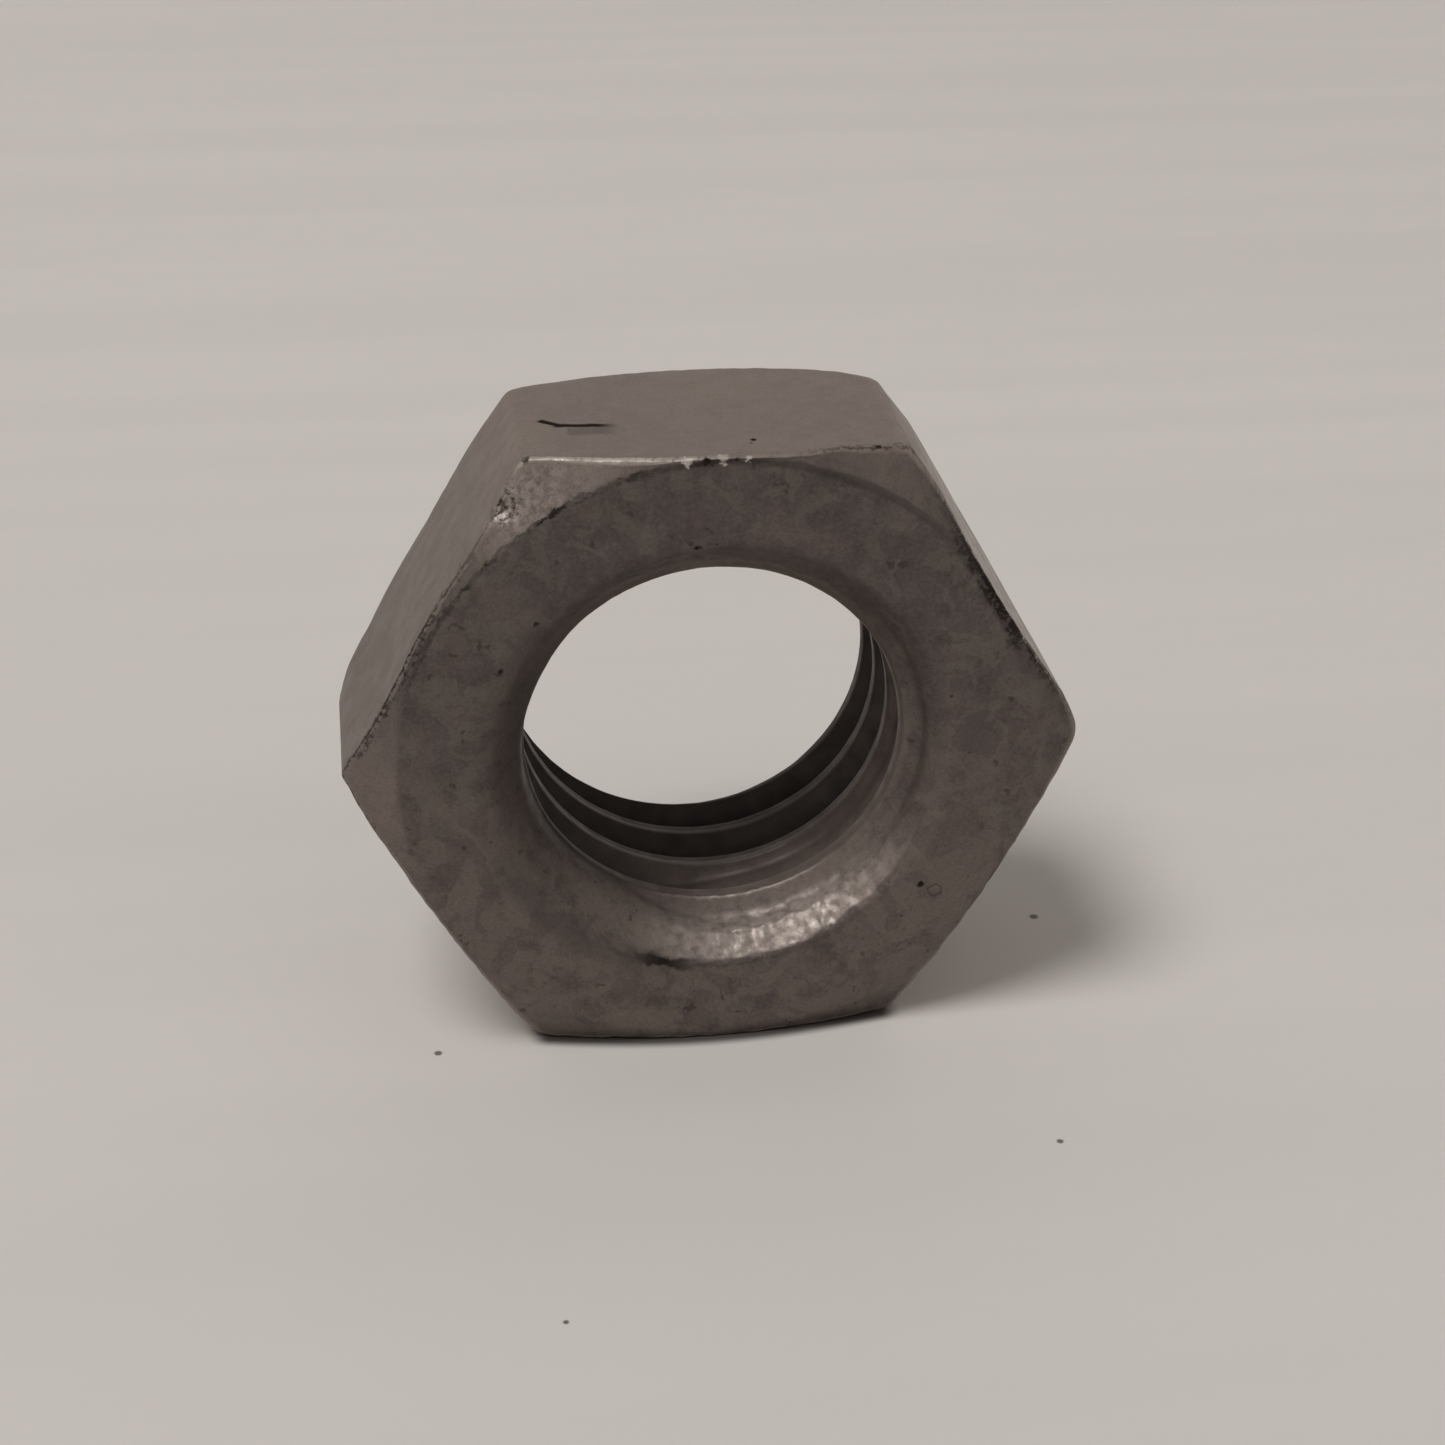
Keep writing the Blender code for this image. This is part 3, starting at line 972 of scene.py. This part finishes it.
def zinc_material():
    """The whole nut: zinc outside, bare steel in the thread, dirt, wear, painted shade and
    painted highlights over both.
    """
    material = bpy.data.materials.new("galvanised_zinc_weathered")
    n = Nodes(material)
    p = Patterns(n)
    face = n.attribute("face")
    zinc = spotted_zinc(n, p, n.mix(face, flat_zinc(n, p), face_zinc(n, p)))
    bright = bright_mask(n, p)
    zinc = n.mix(bright, zinc, BRIGHT_TONE)
    # melted zinc in the countersink, painted brighter where a highlight falls on it
    melt_and_highlight = n.step(p.ragged, 0.32, 0.60, 0.4, 1.0)
    melt_and_highlight = n.math("MULTIPLY", n.attribute("cone_melt_and_highlight"), melt_and_highlight, clamp=True)
    zinc = n.mix(melt_and_highlight, zinc, MELT_AND_HIGHLIGHT_TONE)
    color = n.mix(n.attribute("bare"), zinc, thread_steel(n, p))
    # painted shade deep in the bore and on its left
    color = n.mix(n.times(n.attribute("bore_shade"), 0.85), color, BORE_SHADE_TONE)
    dark = dark_mask(n, p)
    color = n.mix(dark, color, DIRT_TONE)
    color = n.mix(n.times(scratch(n, *SMUDGE), 0.45), color, SMUDGE_TONE)

    shine = n.most(bright, n.times(melt_and_highlight, 0.4))
    rough = n.math("MULTIPLY_ADD", shine, -0.18, n.step(p.mottle, 0.3, 0.7, 0.46, 0.62))
    rough = n.math("MULTIPLY_ADD", dark, 0.35, rough)
    height = n.math("ADD", n.times(p.mottle, 0.5), n.times(p.grain, 0.25))
    height = n.times(height, n.math("MULTIPLY_ADD", face, 0.7, 0.3))
    height = n.math("MULTIPLY_ADD", dark, -0.8, height)
    clear = n.math("SUBTRACT", 1.0, dark)
    n.surface(
        Base_Color=color,
        Roughness=rough,
        Metallic=n.times(clear, 0.4),
        Specular_IOR_Level=n.times(clear, 0.5),
        Normal=n.bump(height, 0.03 * MM),
    )
    return material


# Small dark specks that lie on the floor sheet: x, y and size in mm
FLOOR_SPECKS = ((11.4, 1.4, 0.14), (9.0, -10.7, 0.10), (-8.6, -3.8, 0.12), (-5.9, -16.5, 0.08))

# Linear colours of the floor sheet
FLOOR_TONES = ((0.664, 0.634, 0.611, 1), (0.684, 0.653, 0.630, 1))
FLOOR_CLOUD_TONE = (0.652, 0.623, 0.600, 1)
SPECK_TONE = (0.06, 0.05, 0.045, 1)
# painted shadow where the nut meets the floor
CONTACT_SHADOW_TONE = (0.03, 0.026, 0.024, 1)

# The painted shadow line on the floor along the front edge of the nut: where it fades out
# sideways, behind the edge and in front of it
CONTACT_SHADOW_SIDE = (5.9, 5.2)
CONTACT_SHADOW_BEHIND = (-0.9, -0.5)
CONTACT_SHADOW_AHEAD = (0.62, 0.12)

# The floor bowl, in metres: radius of its flat part, of the curve up, and the wall's height
FLOOR_REACH = 0.30
FLOOR_CURVE = 0.16
FLOOR_CURVE_STEPS = 12
WALL_HEIGHT = 0.40
BOWL_STEPS = 96


def contact_shadow_mask(n):
    """1 along the painted shadow where the bottom front edge of the nut meets the floor."""
    x = n.axis("X")
    radius = n.math("SQRT", n.math("MULTIPLY_ADD", x, x, (FLAT * MM) ** 2))
    past_rim = n.math("MAXIMUM", n.math("SUBTRACT", radius, FRONT_RIM * MM), 0.0)
    edge = n.math("MULTIPLY_ADD", past_rim, FRONT_SLOPE, -HALF * MM)
    ahead = n.math("SUBTRACT", edge, n.axis("Y"))
    across = n.math("ABSOLUTE", x)
    return n.times(
        n.step(across, CONTACT_SHADOW_SIDE[0] * MM, CONTACT_SHADOW_SIDE[1] * MM),
        n.step(ahead, CONTACT_SHADOW_AHEAD[0] * MM, CONTACT_SHADOW_AHEAD[1] * MM),
        n.step(ahead, CONTACT_SHADOW_BEHIND[0] * MM, CONTACT_SHADOW_BEHIND[1] * MM),
    )


def floor_material():
    """A pale sheet with faint streaks, a few specks and a painted shadow along the nut's front
    edge.
    """
    material = bpy.data.materials.new("floor_sheet")
    n = Nodes(material)
    node = n.tree.nodes.new("ShaderNodeMapping")
    node.inputs["Rotation"].default_value = (0.0, 0.0, math.radians(25.0))
    node.inputs["Scale"].default_value = (0.04, 1.0, 1.0)
    n.put(node.inputs["Vector"], n.coords)
    streak = n.noise(0.16 * PER_MM, 2.0, 0.5, vector=node.outputs[0])
    cloud = n.noise(0.03 * PER_MM, 3.0)
    color = n.mix(n.step(streak, 0.35, 0.65), *FLOOR_TONES)
    color = n.mix(n.step(cloud, 0.3, 0.7, 0.0, 0.3), color, FLOOR_CLOUD_TONE)
    for x, y, size in FLOOR_SPECKS:
        away = n.distance((x * MM, y * MM, 0.0))
        spot = n.step(away, 0.6 * size * MM, 1.4 * size * MM, 0.85, 0.0)
        color = n.mix(spot, color, SPECK_TONE)
    # painted shadow along the nut's front edge
    color = n.mix(n.times(contact_shadow_mask(n), 0.93), color, CONTACT_SHADOW_TONE)
    n.surface(Base_Color=color, Roughness=0.55)
    return material


def stage_bowl():
    """Floor that curves up into a wall all round, so that every view has a plain backdrop."""
    bm = bmesh.new()
    profile = [(0.0, 0.0), (FLOOR_REACH, 0.0)]
    for step in range(1, FLOOR_CURVE_STEPS + 1):
        swing = math.radians(90.0 * step / FLOOR_CURVE_STEPS)
        radius = FLOOR_REACH + FLOOR_CURVE * math.sin(swing)
        profile.append((radius, FLOOR_CURVE * (1 - math.cos(swing))))
    profile.append((FLOOR_REACH + FLOOR_CURVE, WALL_HEIGHT))
    verts = [bm.verts.new((radius, 0.0, height)) for radius, height in profile]
    edges = [bm.edges.new(pair) for pair in zip(verts, verts[1:])]
    bmesh.ops.spin(
        bm,
        geom=verts + edges,
        cent=(0.0, 0.0, 0.0),
        axis=(0.0, 0.0, 1.0),
        angle=math.tau,
        steps=BOWL_STEPS,
        use_merge=True,
    )
    bmesh.ops.remove_doubles(bm, verts=bm.verts, dist=1e-6)
    bmesh.ops.recalc_face_normals(bm, faces=bm.faces)
    mesh = bpy.data.meshes.new("floor")
    bm.to_mesh(mesh)
    bm.free()
    mesh.shade_smooth()
    mesh.materials.append(floor_material())
    floor = bpy.data.objects.new("floor", mesh)
    floor.location = (0.0, 0.0, cad_low.z)
    bpy.context.scene.collection.objects.link(floor)


def aim(obj, target):
    back = obj.location - Vector(target)
    obj.rotation_mode = "QUATERNION"
    obj.rotation_quaternion = back.to_track_quat("Z", "Y")


def area_light(name, place, size, watts, color):
    data = bpy.data.lights.new(name, "AREA")
    data.shape = "DISK"
    data.size = size
    data.energy = watts
    data.color = color
    light = bpy.data.objects.new(name, data)
    light.location = place
    bpy.context.scene.collection.objects.link(light)
    aim(light, (0.0, 0.0, 0.0))


# The one soft light and the pale air round it
KEY_PLACE = (-0.36, -0.24, 0.90)
KEY_SIZE = 0.42
KEY_WATTS = 5.6
KEY_COLOR = (1.0, 0.985, 0.97)
AIR_COLOR = (1.0, 0.975, 0.955, 1.0)
AIR_STRENGTH = 0.235


def studio_light():
    world = bpy.data.worlds.new("studio_air")
    world.use_nodes = True
    background = world.node_tree.nodes["Background"]
    background.inputs["Color"].default_value = AIR_COLOR
    background.inputs["Strength"].default_value = AIR_STRENGTH
    bpy.context.scene.world = world
    area_light("key", KEY_PLACE, KEY_SIZE, KEY_WATTS, KEY_COLOR)


# The photo's view: angles in degrees, the rest in mm
AZIMUTH, ELEVATION, ROLL = -8.77, 27.4, 0.52
LOOK_AT = (0.643, 0.0, -0.784)
DISTANCE = 77.6
FOCAL_OVER_WIDTH = 1.7528
SENSOR = 36.0


def camera():
    """The camera, slightly to the left of the nut's axis and 27 degrees above the floor."""
    a, e = math.radians(AZIMUTH), math.radians(ELEVATION)
    back = Vector((math.sin(a) * math.cos(e), -math.cos(a) * math.cos(e), math.sin(e)))
    data = bpy.data.cameras.new("camera")
    data.sensor_width = SENSOR
    data.lens = SENSOR * FOCAL_OVER_WIDTH
    data.clip_start = 1.0 * MM
    data.clip_end = 3.0
    cam = bpy.data.objects.new("camera", data)
    bpy.context.scene.collection.objects.link(cam)
    turn = (-back).to_track_quat("-Z", "Y").to_matrix().to_4x4()
    twist = Matrix.Rotation(math.radians(ROLL), 4, "Z")
    place = Vector(LOOK_AT) + back * DISTANCE
    cam.matrix_world = Matrix.Translation(place * MM) @ turn @ twist
    bpy.context.scene.camera = cam


def build_nut():
    mesh = nut_mesh()
    weather(mesh)
    paint(mesh)
    mesh.materials.append(zinc_material())
    nut = bpy.data.objects.new("hex_nut_skin", mesh)
    bpy.context.scene.collection.objects.link(nut)
    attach(nut, "root")
    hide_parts(NODE)


bpy.context.scene.view_settings.view_transform = "Standard"
build_nut()
stage_bowl()
studio_light()
camera()
